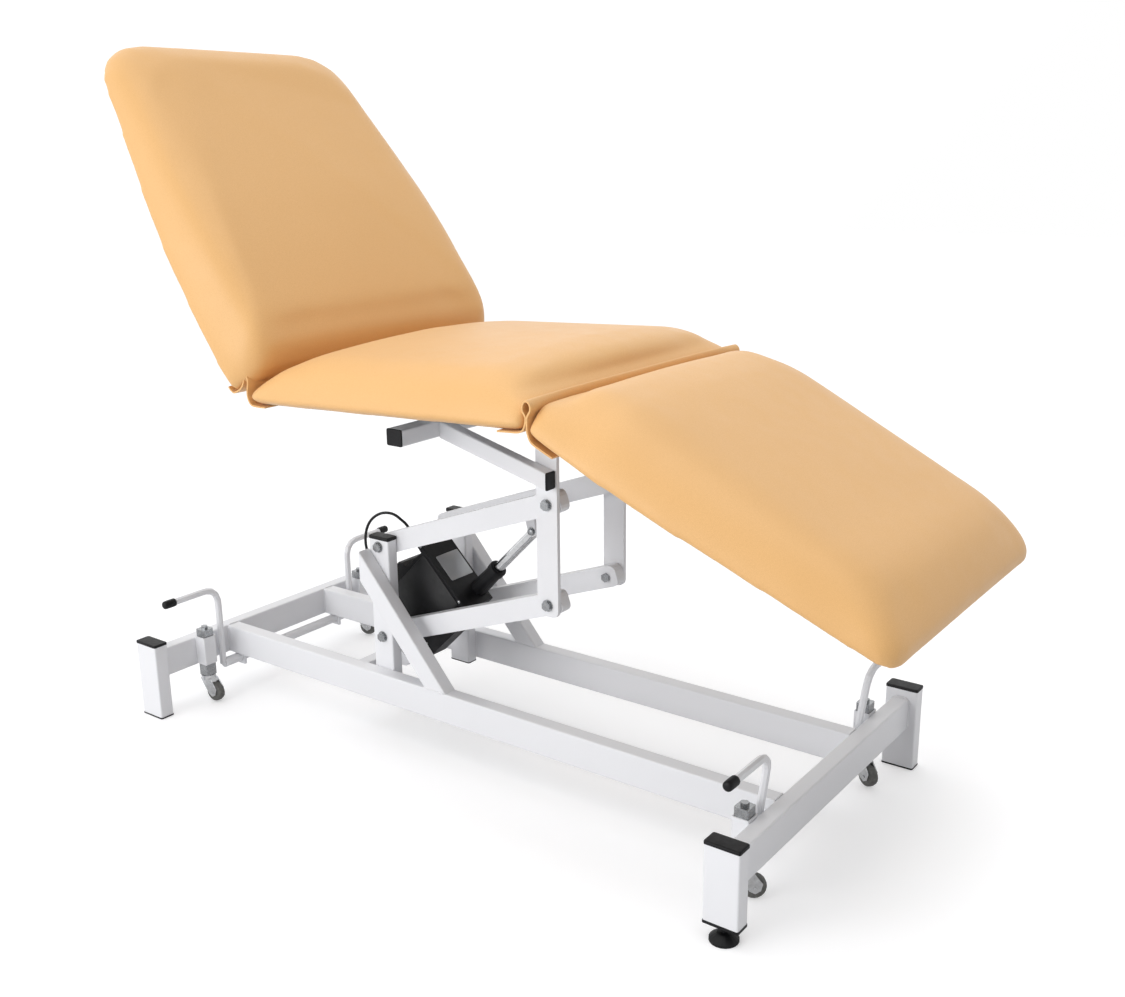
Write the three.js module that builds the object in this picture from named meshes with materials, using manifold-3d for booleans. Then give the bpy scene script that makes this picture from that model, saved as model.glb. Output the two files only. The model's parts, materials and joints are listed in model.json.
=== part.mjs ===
// Electric examination couch: three upholstered sections on a parallelogram lift,
// standing on a welded tube base with lever-operated castors.
// Millimetres. X along the couch (foot end +X), Y across it, Z up, floor at Z = 0.
import * as THREE from "three";
import { mergeVertices } from "three/addons/utils/BufferGeometryUtils.js";
import manifoldModule from "manifold-3d";

const wasm = await manifoldModule();
wasm.setup();
const { Manifold, Mesh: ManifoldMesh } = wasm;

// ---------------------------------------------------------------- driving dimensions
const GAP = 0.3;                 // air between neighbouring pieces
const WALL = 2;                  // wall of the square and rectangular tube
const ORIGIN = { x: 77.51, y: -4 };   // middle of the whole couch, from the middle of its base

const BASE = {
  legX: 666.7, legY: 335.8, legAlong: 60, legAcross: 30, legTop: 158, shortLegBottom: 28,
  railTop: 140.5, railHeight: 60, railThick: 30, longRailY: 139.6,
};

const LIFT = {
  postX: -216, postWidth: 50, postThick: 25, postBottom: 76, postTop: 405,
  upperPivotZ: 389, pivotSpacing: 184, armLength: 418, armAngle: 20,
  armHeight: 40, armThick: 24, armInner: 74.5, armTail: 24, armNose: 24,
  uprightWidth: 45, uprightThick: 8, boltRadius: 6,
};

const BRACE = { topX: -240, topZ: 352, footX: -58, height: 40 };

const ACTUATOR = {
  rearX: -263, rearZ: 109, eyeX: 73, eyeZ: 443, nearSide: -64, farSide: 17,
  frontAt: 268, collarEnd: 340, collarRadius: 15, rodRadius: 10, boreDepth: 228, rodInside: 113,
};

const SEAT = {
  tilt: 2.43, backHingeX: -338, legHingeX: 308, undersideAtBack: 687, pinDrop: 8,
  halfWidth: 334, pad: 98, board: 15,
};
const BACK = {
  angle: 57.9, length: 744, halfWidth: 337, endHalfWidth: 306, pad: 110, endPad: 68,
  corner: 108, endRound: 62, pinDrop: -4.2,
};
const LEG_REST = {
  angle: -24.2, length: 625, halfWidth: 327, endHalfWidth: 303, pad: 98, endPad: 78,
  corner: 42, endRound: 150, pinDrop: 3.4,
};
const BACK_STOP = 65;            // steepest backrest angle; the two pads meet there

const CASTOR = {
  x: 637, y: 226, sleeve: 30, post: 25, sleeveBottom: 84, sleeveTop: 144,
  postBottom: 58, postTop: 160, wheelRadius: 20, wheelWidth: 16, trail: 18, floorGap: 1.5,
};
const CASTOR_SWIVEL = { head_l: 5, head_r: 20, foot_l: 40, foot_r: -25 };   // resting directions

const LEVER = {
  barX: 634, barZ: 69, barRadius: 10, rodRadius: 7, rodY: 188, topZ: 240, tipY: 320, bend: 36,
  lean: { head: 0, foot: 7.4 },
};

const radians = THREE.MathUtils.degToRad;

// ---------------------------------------------------------------- materials
function paint(color, roughness, metalness = 0) {
  return new THREE.MeshStandardMaterial({ color, roughness, metalness });
}
const MATERIALS = {
  white: () => paint(0xe9e9ec, 0.4, 0.1),
  zinc: () => paint(0xa9adb0, 0.35, 0.9),
  chrome: () => paint(0xd6d8da, 0.12, 1),
  blackPlastic: () => paint(0x121214, 0.5),
  tyre: () => paint(0x6b6c6a, 0.7),
  leather: () => paint(0xe8b77a, 0.5),
  plywood: () => paint(0xb98f5c, 0.7),
};

// ---------------------------------------------------------------- solids
function toManifold(geometry) {
  const bare = new THREE.BufferGeometry();
  bare.setAttribute("position", geometry.getAttribute("position").clone());
  if (geometry.index) bare.setIndex(geometry.index.clone());
  const welded = mergeVertices(bare, 1e-4);
  const corners = welded.index.array;
  const triangles = [];
  for (let i = 0; i < corners.length; i += 3) {
    const [a, b, c] = corners.subarray(i, i + 3);
    if (a !== b && b !== c && c !== a) triangles.push(a, b, c);
  }
  return new Manifold(new ManifoldMesh({
    numProp: 3,
    vertProperties: new Float32Array(welded.getAttribute("position").array),
    triVerts: new Uint32Array(triangles),
  }));
}

function fromManifold(solid) {
  const { vertProperties, triVerts, numProp } = solid.getMesh();
  const geometry = new THREE.BufferGeometry();
  const positions = new Float32Array((vertProperties.length / numProp) * 3);
  for (let i = 0; i < positions.length / 3; i += 1) {
    positions.set(vertProperties.subarray(i * numProp, i * numProp + 3), i * 3);
  }
  geometry.setAttribute("position", new THREE.BufferAttribute(positions, 3));
  geometry.setIndex(new THREE.BufferAttribute(new Uint32Array(triVerts), 1));
  const faceted = geometry.toNonIndexed();
  faceted.computeVertexNormals();
  return faceted;
}

function fuse(...geometries) {
  return fromManifold(Manifold.union(geometries.map(toManifold)));
}

function cut(geometry, ...tools) {
  return fromManifold(Manifold.difference([geometry, ...tools].map(toManifold)));
}

function polygon(points) {
  return new THREE.Shape(points.map(([x, y]) => new THREE.Vector2(x, y)));
}

/** Points of an arc from one angle to another, both in quarter turns. */
function arc(x, y, radius, from, to, segments) {
  return Array.from({ length: segments + 1 }, (_, i) => {
    const turn = (from + ((to - from) * i) / segments) * (Math.PI / 2);
    return [x + radius * Math.cos(turn), y + radius * Math.sin(turn)];
  });
}

function roundedOutline(width, height, radius, segments = 3) {
  const w = width / 2 - radius;
  const h = height / 2 - radius;
  return polygon([
    ...arc(w, h, radius, 0, 1, segments),
    ...arc(-w, h, radius, 1, 2, segments),
    ...arc(-w, -h, radius, 2, 3, segments),
    ...arc(w, -h, radius, 3, 4, segments),
  ]);
}

function circle(radius, segments) {
  return polygon(arc(0, 0, radius, 0, 4, segments).slice(0, -1));
}

function extrude(shape, depth) {
  return new THREE.ExtrudeGeometry(shape, { depth, bevelEnabled: false });
}

/** Round bar bent along a path. */
function bentBar(path, radius, steps, segments) {
  return new THREE.ExtrudeGeometry(circle(radius, segments), {
    extrudePath: path, steps, bevelEnabled: false,
  });
}

function solidBar(width, height, length, radius = 3) {
  return extrude(roundedOutline(width, height, radius), length);
}

function box(x0, x1, y0, y1, z0, z1) {
  const geometry = new THREE.BoxGeometry(x1 - x0, y1 - y0, z1 - z0);
  return geometry.translate((x0 + x1) / 2, (y0 + y1) / 2, (z0 + z1) / 2);
}

/** Tube along +Z from 0, open at both ends. */
function openTube(width, height, length, radius = 3) {
  const w = width / 2 - WALL;
  const h = height / 2 - WALL;
  return cut(solidBar(width, height, length, radius), box(-w, w, -h, h, -1, length + 1));
}

function alongX(geometry) {
  return geometry.rotateY(Math.PI / 2);
}

function alongY(geometry) {
  return geometry.rotateX(-Math.PI / 2);
}

/** Round bar whose axis is parallel to Y. */
function yCylinder(x, z, radius, y0, y1, segments = 16) {
  const bar = new THREE.CylinderGeometry(radius, radius, y1 - y0, segments);
  return bar.translate(x, (y0 + y1) / 2, z);
}

function zCylinder(x, y, radius, z0, z1, segments = 16) {
  const bar = new THREE.CylinderGeometry(radius, radius, z1 - z0, segments).rotateX(Math.PI / 2);
  return bar.translate(x, y, (z0 + z1) / 2);
}

/** Plate in the XZ plane, drawn as an outline and given its thickness from y0 to y1. */
function xzPlate(points, y0, y1) {
  return extrude(polygon(points), y1 - y0).rotateX(Math.PI / 2).translate(0, y1, 0);
}

// ---------------------------------------------------------------- assembly helpers
const couch = new THREE.Group();
couch.name = "examination_couch";
couch.position.set(-ORIGIN.x, -ORIGIN.y, 0);

function add(name, geometry, material, parent = couch) {
  const mesh = new THREE.Mesh(geometry, MATERIALS[material]());
  mesh.name = name;
  parent.add(mesh);
  return mesh;
}

const SIDES = { l: -1, r: 1 };
const ENDS = { head: -1, foot: 1 };

/** Low and high Y of something that reaches from inner to outer on one side. */
function span(side, inner, outer) {
  return side < 0 ? [-outer, -inner] : [inner, outer];
}

// ---------------------------------------------------------------- base
function leg(short) {
  const bottom = short ? BASE.shortLegBottom : 0;
  const body = solidBar(BASE.legAlong, BASE.legAcross, BASE.legTop - bottom).translate(0, 0, bottom);
  const inside = box(
    -BASE.legAlong / 2 + WALL, BASE.legAlong / 2 - WALL,
    -BASE.legAcross / 2 + WALL, BASE.legAcross / 2 - WALL,
    bottom + 8, BASE.legTop + 1,
  );
  const tools = [inside];
  if (short) tools.push(zCylinder(0, 0, 5 + GAP, bottom - 1, bottom + 9));
  return cut(body, ...tools);
}

function levellingFoot() {
  const profile = [[0, 0], [23, 0], [23, 4], [11, 13], [5, 14], [5, 48], [0, 48]];
  const foot = new THREE.LatheGeometry(profile.map(([r, z]) => new THREE.Vector2(r, z)), 20);
  const nut = zCylinder(0, 0, 9, 19, BASE.shortLegBottom - GAP, 6);
  return fuse(foot.rotateX(Math.PI / 2), nut);
}

function castorSleeve(x, y, inboard) {
  const height = CASTOR.sleeveTop - CASTOR.sleeveBottom;
  const tube = openTube(CASTOR.sleeve, CASTOR.sleeve, height, 2);
  const weld = box(-1, 1, -8, 8, 10, height - 10).translate(-inboard * (CASTOR.sleeve / 2 - 0.4), 0, 0);
  return fuse(tube, weld).translate(x, y, CASTOR.sleeveBottom);
}

function crossRail(end) {
  const length = 2 * (BASE.legY - BASE.legAcross / 2 - GAP);
  const rail = alongY(openTube(BASE.railThick, BASE.railHeight, length));
  rail.translate(end * BASE.legX, -length / 2, BASE.railTop - BASE.railHeight / 2);
  const sleeves = Object.values(SIDES).map((side) => castorSleeve(end * CASTOR.x, side * CASTOR.y, -end));
  return fuse(rail, ...sleeves);
}

function longRail(side) {
  const end = BASE.legX - BASE.railThick / 2 - GAP;
  const rail = alongX(openTube(BASE.railHeight, BASE.railThick, 2 * end));
  rail.translate(-end, side * BASE.longRailY, BASE.railTop - BASE.railHeight / 2);
  const under = BASE.railTop - BASE.railHeight;
  const hangers = [];
  const bores = [];
  for (const x of [-LEVER.barX, LEVER.barX]) {
    const [y0, y1] = span(side, BASE.longRailY - 3, BASE.longRailY + 3);
    hangers.push(box(x - 14, x + 14, y0, y1, LEVER.barZ - 15, under + 1));
    bores.push(yCylinder(x, LEVER.barZ, LEVER.barRadius + 0.5, y0 - 1, y1 + 1));
  }
  return cut(fuse(rail, ...hangers), ...bores);
}

function liftPost(side) {
  const post = openTube(LIFT.postWidth, LIFT.postThick, LIFT.postTop - LIFT.postBottom);
  const y = side * (BASE.longRailY - BASE.railThick / 2 - GAP - LIFT.postThick / 2);
  post.translate(LIFT.postX, y, LIFT.postBottom);
  const bores = [0, 1].map((row) => yCylinder(
    LIFT.postX, LIFT.upperPivotZ - row * LIFT.pivotSpacing, LIFT.boltRadius + GAP, y - 20, y + 20,
  ));
  return cut(post, ...bores);
}

/** Diagonal strut in the plane of the long rail, cut upright at the top and flat at the foot. */
function postBrace(side) {
  const dx = BRACE.footX - BRACE.topX;
  const dz = BASE.railTop - BRACE.topZ;
  const slope = Math.atan2(-dz, dx);
  const length = Math.hypot(dx, dz) + 160;
  const tube = alongX(openTube(BRACE.height, BASE.railThick, length));
  tube.rotateY(slope).translate(
    BRACE.topX - 60 * Math.cos(slope), side * BASE.longRailY, BRACE.topZ + 60 * Math.sin(slope),
  );
  const keep = box(
    BRACE.topX, 200, -400, 400, BASE.railTop + GAP, 600,
  );
  return fromManifold(Manifold.intersection([tube, keep].map(toManifold)));
}

/** Cross tube between the long rails with two ears and the pin that carries the actuator. */
function actuatorMount() {
  const half = BASE.longRailY - BASE.railThick / 2 - GAP;
  const tubeX = ACTUATOR.rearX - 37;
  const tube = alongY(openTube(30, 30, 2 * half)).translate(tubeX, -half, ACTUATOR.rearZ);
  const ears = Object.values(SIDES).map((side) => {
    const [y0, y1] = span(side, 13, 19);
    const plate = box(tubeX + 14.5, ACTUATOR.rearX, y0, y1, ACTUATOR.rearZ - 14, ACTUATOR.rearZ + 14);
    return fuse(plate, yCylinder(ACTUATOR.rearX, ACTUATOR.rearZ, 14, y0, y1, 20));
  });
  const pin = yCylinder(ACTUATOR.rearX, ACTUATOR.rearZ, 6, -18.5, 18.5);
  return fuse(tube, ...ears, pin);
}

/** Motor cable: out of the actuator, over the lift arm and into the side of the left post. */
const CABLE_RADIUS = 2.75;
const CABLE_ROUTE = [
  [-170.3, -45, 364.8], [-174.3, -45, 368.9], [-178.8, -46.6, 375.5], [-183.8, -50, 386.5],
  [-188.2, -54, 399], [-194, -58.5, 411], [-200.6, -62, 421.8], [-208.5, -66, 430],
  [-221, -70.5, 439], [-236, -75.5, 442], [-252, -80, 438.5], [-267, -84, 428.5],
  [-279, -86.5, 413], [-286, -87.5, 393.5], [-287.5, -87.5, 372], [-283, -86.5, 351],
  [-273.5, -85, 332], [-260.5, -83.5, 316], [-245.5, -82.5, 305], [-236.5, -84, 299.8],
  [-226, -89, 298.2], [-221.4, -94, 298], [-220.8, -98.4, 298],
];

function motorCable() {
  const route = new THREE.CatmullRomCurve3(CABLE_ROUTE.map((point) => new THREE.Vector3(...point)));
  return bentBar(route, CABLE_RADIUS, 40, 6);
}

function buildBase() {
  for (const [endName, end] of Object.entries(ENDS)) {
    for (const [sideName, side] of Object.entries(SIDES)) {
      const short = endName === "foot" && sideName === "l";
      add(`leg_${endName}_${sideName}`, leg(short), "white")
        .position.set(end * BASE.legX, side * BASE.legY, 0);
    }
    add(`cross_rail_${endName}`, crossRail(end), "white");
  }
  add("levelling_foot", levellingFoot(), "blackPlastic").position.set(BASE.legX, -BASE.legY, 0);
  for (const [sideName, side] of Object.entries(SIDES)) {
    add(`long_rail_${sideName}`, longRail(side), "white");
    add(`lift_post_${sideName}`, liftPost(side), "white");
    add(`post_brace_${sideName}`, postBrace(side), "white");
  }
  add("actuator_mount", actuatorMount(), "white");
  add("motor_cable", motorCable(), "blackPlastic");
}

// ---------------------------------------------------------------- castors and levers
function castorPost() {
  const half = CASTOR.post / 2;
  const shaft = solidBar(CASTOR.post, CASTOR.post, CASTOR.postTop - CASTOR.postBottom, 2)
    .translate(0, 0, CASTOR.postBottom);
  const boltHead = zCylinder(0, 0, 7, CASTOR.postTop - 0.5, CASTOR.postTop + 6, 6);
  const stem = zCylinder(0, 0, 5, CASTOR.postBottom - 8, CASTOR.postBottom + half, 12);
  return fuse(shaft, boltHead, stem);
}

function castorFork() {
  const top = CASTOR.postBottom - GAP;
  const wheelZ = CASTOR.wheelRadius + CASTOR.floorGap;
  const race = cut(zCylinder(0, 0, 15, top - 9, top, 20), zCylinder(0, 0, 5 + GAP, top - 10, top + 1, 12));
  const inner = CASTOR.wheelWidth / 2 + 1;
  const cheeks = [-1, 1].map((side) => {
    const [y0, y1] = span(side, inner, inner + 2.5);
    return xzPlate([
      [-12, top - 7], [-8, top - 14], [CASTOR.trail - 9, wheelZ - 4], [CASTOR.trail, wheelZ - 9],
      [CASTOR.trail + 9, wheelZ - 4], [CASTOR.trail + 12, wheelZ + 8], [14, top - 7],
    ], y0, y1);
  });
  const roof = box(-12, 14, -inner - 2, inner + 2, top - 9.5, top - 6.5);
  const drilledRoof = cut(roof, zCylinder(0, 0, 5 + GAP, top - 12, top - 4, 12));
  const axle = yCylinder(CASTOR.trail, wheelZ, 3, -inner - 4, inner + 4, 12);
  return fuse(race, drilledRoof, ...cheeks, axle);
}

function castorWheel() {
  const half = CASTOR.wheelWidth / 2;
  const r = CASTOR.wheelRadius;
  const profile = [
    [3.3, -half], [r - 3, -half], [r - 1, -half + 1.5], [r, -half + 5],
    [r, half - 5], [r - 1, half - 1.5], [r - 3, half], [3.3, half], [3.3, -half],
  ];
  return new THREE.LatheGeometry(profile.map(([x, y]) => new THREE.Vector2(x, y)), 20);
}

/** Cross bar under the long rails with a bent foot rod at each end. */
function castorLever(end, lean) {
  const bar = yCylinder(0, 0, LEVER.barRadius, -LEVER.rodY + 2, LEVER.rodY - 2, 16);
  const rods = Object.values(SIDES).map((side) => {
    const rise = LEVER.topZ - LEVER.barZ;
    const route = new THREE.CurvePath();
    const foot = new THREE.Vector3(0, side * LEVER.rodY, 0);
    const elbow = new THREE.Vector3(0, side * LEVER.rodY, rise);
    const beforeElbow = elbow.clone().setZ(rise - LEVER.bend);
    const afterElbow = elbow.clone().setY(side * (LEVER.rodY + LEVER.bend));
    route.add(new THREE.LineCurve3(foot, beforeElbow));
    route.add(new THREE.QuadraticBezierCurve3(beforeElbow, elbow, afterElbow));
    route.add(new THREE.LineCurve3(afterElbow, elbow.clone().setY(side * LEVER.tipY)));
    return bentBar(route, LEVER.rodRadius, 22, 8);
  });
  return fuse(bar, ...rods).rotateY(end * radians(lean));
}

function buildCastors() {
  for (const [endName, end] of Object.entries(ENDS)) {
    add(`castor_lever_${endName}`, castorLever(end, LEVER.lean[endName]), "white")
      .position.set(end * LEVER.barX, 0, LEVER.barZ);
    for (const [sideName, side] of Object.entries(SIDES)) {
      const place = `${endName}_${sideName}`;
      const station = new THREE.Group();
      station.position.set(end * CASTOR.x, side * CASTOR.y, 0);
      couch.add(station);
      add(`castor_post_${place}`, castorPost(), "zinc", station);
      const swivel = new THREE.Group();
      swivel.rotation.z = radians(CASTOR_SWIVEL[place]);
      station.add(swivel);
      add(`castor_fork_${place}`, castorFork(), "chrome", swivel);
      add(`castor_wheel_${place}`, castorWheel(), "tyre", swivel)
        .position.set(CASTOR.trail, 0, CASTOR.wheelRadius + CASTOR.floorGap);
    }
  }
}

// ---------------------------------------------------------------- lift
const ARM_DIRECTION = new THREE.Vector2(Math.cos(radians(LIFT.armAngle)), Math.sin(radians(LIFT.armAngle)));
const TOP_PIVOT_X = LIFT.postX + LIFT.armLength * ARM_DIRECTION.x;
const ARM_RISE = LIFT.armLength * ARM_DIRECTION.y;

function liftArm(side, row) {
  const length = LIFT.armTail + LIFT.armLength + LIFT.armNose;
  const shape = roundedOutline(length, LIFT.armHeight, 12);
  const [y0, y1] = span(side, LIFT.armInner, LIFT.armInner + LIFT.armThick);
  const bar = extrude(shape, LIFT.armThick).rotateX(Math.PI / 2).translate(0, y1, 0);
  bar.translate(length / 2 - LIFT.armTail, 0, 0);
  const bores = [0, LIFT.armLength].map((x) => yCylinder(x, 0, LIFT.boltRadius + GAP, y0 - 1, y1 + 1));
  return cut(bar, ...bores)
    .rotateY(-radians(LIFT.armAngle))
    .translate(LIFT.postX, 0, LIFT.upperPivotZ - row * LIFT.pivotSpacing);
}

function upperArms() {
  const reach = 297;
  const tubeX = LIFT.postX + reach * ARM_DIRECTION.x;
  const tubeZ = LIFT.upperPivotZ + reach * ARM_DIRECTION.y;
  const tube = yCylinder(tubeX, tubeZ, 15, -LIFT.armInner - 2, LIFT.armInner + 2, 20);
  const lugs = Object.values(SIDES).map((side) => {
    const [y0, y1] = span(side, 10.5, 16.5);
    const web = xzPlate([
      [tubeX - 13, tubeZ], [ACTUATOR.eyeX - 9, ACTUATOR.eyeZ],
      [ACTUATOR.eyeX + 9, ACTUATOR.eyeZ], [tubeX + 13, tubeZ],
    ], y0, y1);
    return fuse(web, yCylinder(ACTUATOR.eyeX, ACTUATOR.eyeZ, 10, y0, y1, 20));
  });
  const pin = yCylinder(ACTUATOR.eyeX, ACTUATOR.eyeZ, 5, -16, 16);
  return fuse(liftArm(-1, 0), liftArm(1, 0), tube, ...lugs, pin);
}

function upright(side) {
  const bottom = LIFT.upperPivotZ + ARM_RISE - LIFT.pivotSpacing - 21;
  const top = 698;
  const inner = LIFT.armInner + LIFT.armThick + 0.8;
  const [y0, y1] = span(side, inner, inner + LIFT.uprightThick);
  const bar = extrude(roundedOutline(LIFT.uprightWidth, top - bottom, 12), LIFT.uprightThick)
    .rotateX(Math.PI / 2)
    .translate(TOP_PIVOT_X, y1, (bottom + top) / 2);
  const bores = [0, 1].map((row) => yCylinder(
    TOP_PIVOT_X, LIFT.upperPivotZ + ARM_RISE - row * LIFT.pivotSpacing, LIFT.boltRadius + GAP, y0 - 1, y1 + 1,
  ));
  return cut(bar, ...bores);
}

/** Pivot bolt with washer and nut, its head on the outside. */
function pivotBolt(side, x, z, headFace) {
  const head = headFace + GAP;
  const nut = LIFT.armInner - GAP;
  const pieces = [
    yCylinder(x, z, LIFT.boltRadius, ...span(side, nut - 5, head + 7), 12),
    yCylinder(x, z, 11, ...span(side, head, head + 1.6), 16),
    yCylinder(x, z, 9, ...span(side, head + 1, head + 7.5), 6),
    yCylinder(x, z, 9, ...span(side, nut - 5, nut), 6),
  ];
  return fuse(...pieces);
}

function buildLift() {
  add("upper_arms", upperArms(), "white");
  const postFace = BASE.longRailY - BASE.railThick / 2 - GAP;
  const uprightFace = LIFT.armInner + LIFT.armThick + 0.8 + LIFT.uprightThick;
  for (const [sideName, side] of Object.entries(SIDES)) {
    add(`lower_arm_${sideName}`, liftArm(side, 1), "white");
    add(`upright_${sideName}`, upright(side), "white");
    ["upper", "lower"].forEach((rowName, row) => {
      const z = LIFT.upperPivotZ - row * LIFT.pivotSpacing;
      add(`base_bolt_${rowName}_${sideName}`, pivotBolt(side, LIFT.postX, z, postFace), "zinc");
      add(`top_bolt_${rowName}_${sideName}`, pivotBolt(side, TOP_PIVOT_X, z + ARM_RISE, uprightFace), "zinc");
    });
  }
}

// ---------------------------------------------------------------- actuator
function actuatorHousing() {
  const { nearSide, farSide, frontAt, collarEnd, collarRadius, rodRadius, boreDepth } = ACTUATOR;
  // side outline: distance along the rod, then height above it
  const gearbox = xzPlate([
    [56, -14], [100, -30], [frontAt, -30], [frontAt, 140], [258, 140], [256, 114], [201, 118],
    [198, 130], [192, 136], [150, 136], [104, 100], [84, 60], [56, 16],
  ], nearSide, farSide);
  const motor = xzPlate([[112, -20], [118, -46], [212, -46], [226, -20]], nearSide, -20);
  const collar = new THREE.CylinderGeometry(collarRadius, collarRadius + 3, collarEnd - frontAt + 4, 20)
    .rotateZ(-Math.PI / 2)
    .translate((frontAt + collarEnd) / 2 - 2, 0, 0);
  const tongue = box(0, 60, -11, 11, -14, 14);
  const eye = yCylinder(0, 0, 14, -11, 11, 20);
  const bore = new THREE.CylinderGeometry(rodRadius + 1.8, rodRadius + 1.8, boreDepth + 2, 16)
    .rotateZ(-Math.PI / 2)
    .translate(collarEnd - boreDepth / 2 + 1, 0, 0);
  return cut(fuse(gearbox, motor, collar, tongue, eye), bore, yCylinder(0, 0, 6 + GAP, -12, 12));
}

function actuatorRod(length) {
  const rod = new THREE.CylinderGeometry(ACTUATOR.rodRadius, ACTUATOR.rodRadius, length, 16)
    .rotateZ(-Math.PI / 2)
    .translate(-length / 2, 0, 0);
  const eye = yCylinder(0, 0, 11, -9.8, 9.8, 20);
  return cut(fuse(rod, eye), yCylinder(0, 0, 5 + GAP, -11, 11));
}

function buildActuator() {
  const dx = ACTUATOR.eyeX - ACTUATOR.rearX;
  const dz = ACTUATOR.eyeZ - ACTUATOR.rearZ;
  const tilt = -Math.atan2(dz, dx);
  const housing = add("actuator_housing", actuatorHousing(), "blackPlastic");
  housing.position.set(ACTUATOR.rearX, 0, ACTUATOR.rearZ);
  housing.rotation.y = tilt;
  const exposed = Math.hypot(dx, dz) - ACTUATOR.collarEnd;
  const rod = add("actuator_rod", actuatorRod(exposed + ACTUATOR.rodInside), "chrome");
  rod.position.set(ACTUATOR.eyeX, 0, ACTUATOR.eyeZ);
  rod.rotation.y = tilt;
}

// ---------------------------------------------------------------- upholstered sections
/** Group whose local X runs along a section away from its hinge and local Z stands off its underside. */
function sectionGroup(hingeX, hingeZ, angle, direction, pinDrop) {
  const a = radians(angle);
  const along = new THREE.Vector3(direction * Math.cos(a), 0, Math.sin(a));
  const normal = new THREE.Vector3(-direction * Math.sin(a), 0, Math.cos(a));
  const across = new THREE.Vector3().crossVectors(normal, along);
  const group = new THREE.Group();
  group.setRotationFromMatrix(new THREE.Matrix4().makeBasis(along, across, normal));
  group.position.set(hingeX, 0, hingeZ).addScaledVector(normal, pinDrop);
  couch.add(group);
  return group;
}

/**
 * Soft pad as stacked rings. shape(height) gives the two ends and the half widths at that height,
 * for a height from 0 at the board to 1 at the crown.
 */
function padSolid(shape, nearCorner, farCorner) {
  const perCorner = 4;
  const lifts = [0, 15, 30, 45, 60, 75, 90].map(radians);
  const rings = lifts.map((lift) => {
    const { near, far, nearWidth, farWidth, nearTop, farTop } = shape(Math.sin(lift), 1 - Math.cos(lift));
    const points = [];
    const quadrants = [[1, 1], [-1, 1], [-1, -1], [1, -1]];
    quadrants.forEach(([sx, sy], quadrant) => {
      for (let i = 0; i <= perCorner; i += 1) {
        const turn = (quadrant + i / perCorner) * (Math.PI / 2);
        const end = sx > 0 ? far : near;
        const width = sx > 0 ? farWidth : nearWidth;
        const height = sx > 0 ? farTop : nearTop;
        const corner = sx > 0 ? farCorner : nearCorner;
        points.push([
          end - sx * corner + Math.cos(turn) * corner,
          sy * (width - corner) + Math.sin(turn) * corner,
          height,
        ]);
      }
    });
    return points;
  });
  const count = rings[0].length;
  const positions = rings.flat(2);
  const index = [];
  for (let ring = 0; ring < rings.length - 1; ring += 1) {
    for (let i = 0; i < count; i += 1) {
      const a = ring * count + i;
      const b = ring * count + ((i + 1) % count);
      index.push(a, b, b + count, a, b + count, a + count);
    }
  }
  const last = (rings.length - 1) * count;
  for (let i = 1; i < count - 1; i += 1) {
    index.push(0, i + 1, i, last, last + i, last + i + 1);
  }
  const geometry = new THREE.BufferGeometry();
  geometry.setAttribute("position", new THREE.BufferAttribute(new Float32Array(positions), 3));
  geometry.setIndex(index);
  geometry.computeVertexNormals();
  return geometry;
}

const padBottom = SEAT.board + 2 * GAP;
const FOLD_HALF = (180 - BACK_STOP - SEAT.tilt) / 2;   // angle of the back joint's meeting plane

/** How far a pad end must stay from the back hinge at a height above the underside. */
function backJointInset(height, pinDrop) {
  return (height + pinDrop) / Math.tan(radians(FOLD_HALF)) + 1;
}

function seatPad(length) {
  return padSolid((rise, round) => {
    const height = padBottom + (SEAT.pad - padBottom) * rise;
    return {
      near: backJointInset(height, SEAT.pinDrop) + 10 * round,
      far: length - 3 - 16 * round,
      nearWidth: SEAT.halfWidth - 36 * round,
      farWidth: SEAT.halfWidth - 36 * round,
      nearTop: height,
      farTop: height,
    };
  }, 24, 24);
}

function backPad() {
  return padSolid((rise, round) => {
    const nearTop = padBottom + (BACK.pad - padBottom) * rise;
    return {
      near: backJointInset(nearTop, BACK.pinDrop) + 10 * round,
      far: BACK.length - BACK.endRound * round,
      nearWidth: BACK.halfWidth - 36 * round,
      farWidth: BACK.endHalfWidth - 36 * round,
      nearTop,
      farTop: padBottom + (BACK.endPad - padBottom) * rise,
    };
  }, 30, BACK.corner);
}

function legPad() {
  return padSolid((rise, round) => {
    return {
      near: 3 + 16 * round,
      far: LEG_REST.length - LEG_REST.endRound * round,
      nearWidth: LEG_REST.halfWidth - 36 * round,
      farWidth: LEG_REST.endHalfWidth - 36 * round,
      nearTop: padBottom + (LEG_REST.pad - padBottom) * rise,
      farTop: padBottom + (LEG_REST.endPad - padBottom) * rise,
    };
  }, 30, LEG_REST.corner);
}

function board(from, to, halfWidth, endHalfWidth, corner) {
  const edge = 6;
  const cornerX = to - edge - corner;
  const cornerY = endHalfWidth - edge - corner;
  const shape = polygon([
    [from, -halfWidth + edge],
    ...arc(cornerX, -cornerY, corner, 3, 4, 4),
    ...arc(cornerX, cornerY, corner, 0, 1, 4),
    [from, halfWidth - edge],
  ]);
  return extrude(shape, SEAT.board).translate(0, 0, GAP);
}

/** Hinge bar under a moving section, with the pin that turns in the seat rail. */
function hingeBar(side, pinDrop) {
  const [y0, y1] = span(side, 144, 152);
  const bar = box(0, 300, y0, y1, -16, -GAP);
  const boss = yCylinder(0, -pinDrop, 7.7, y0, y1, 20);
  const pin = yCylinder(0, -pinDrop, 4, ...span(side, 133, 150), 12);
  return fuse(bar, boss, pin);
}

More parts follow.
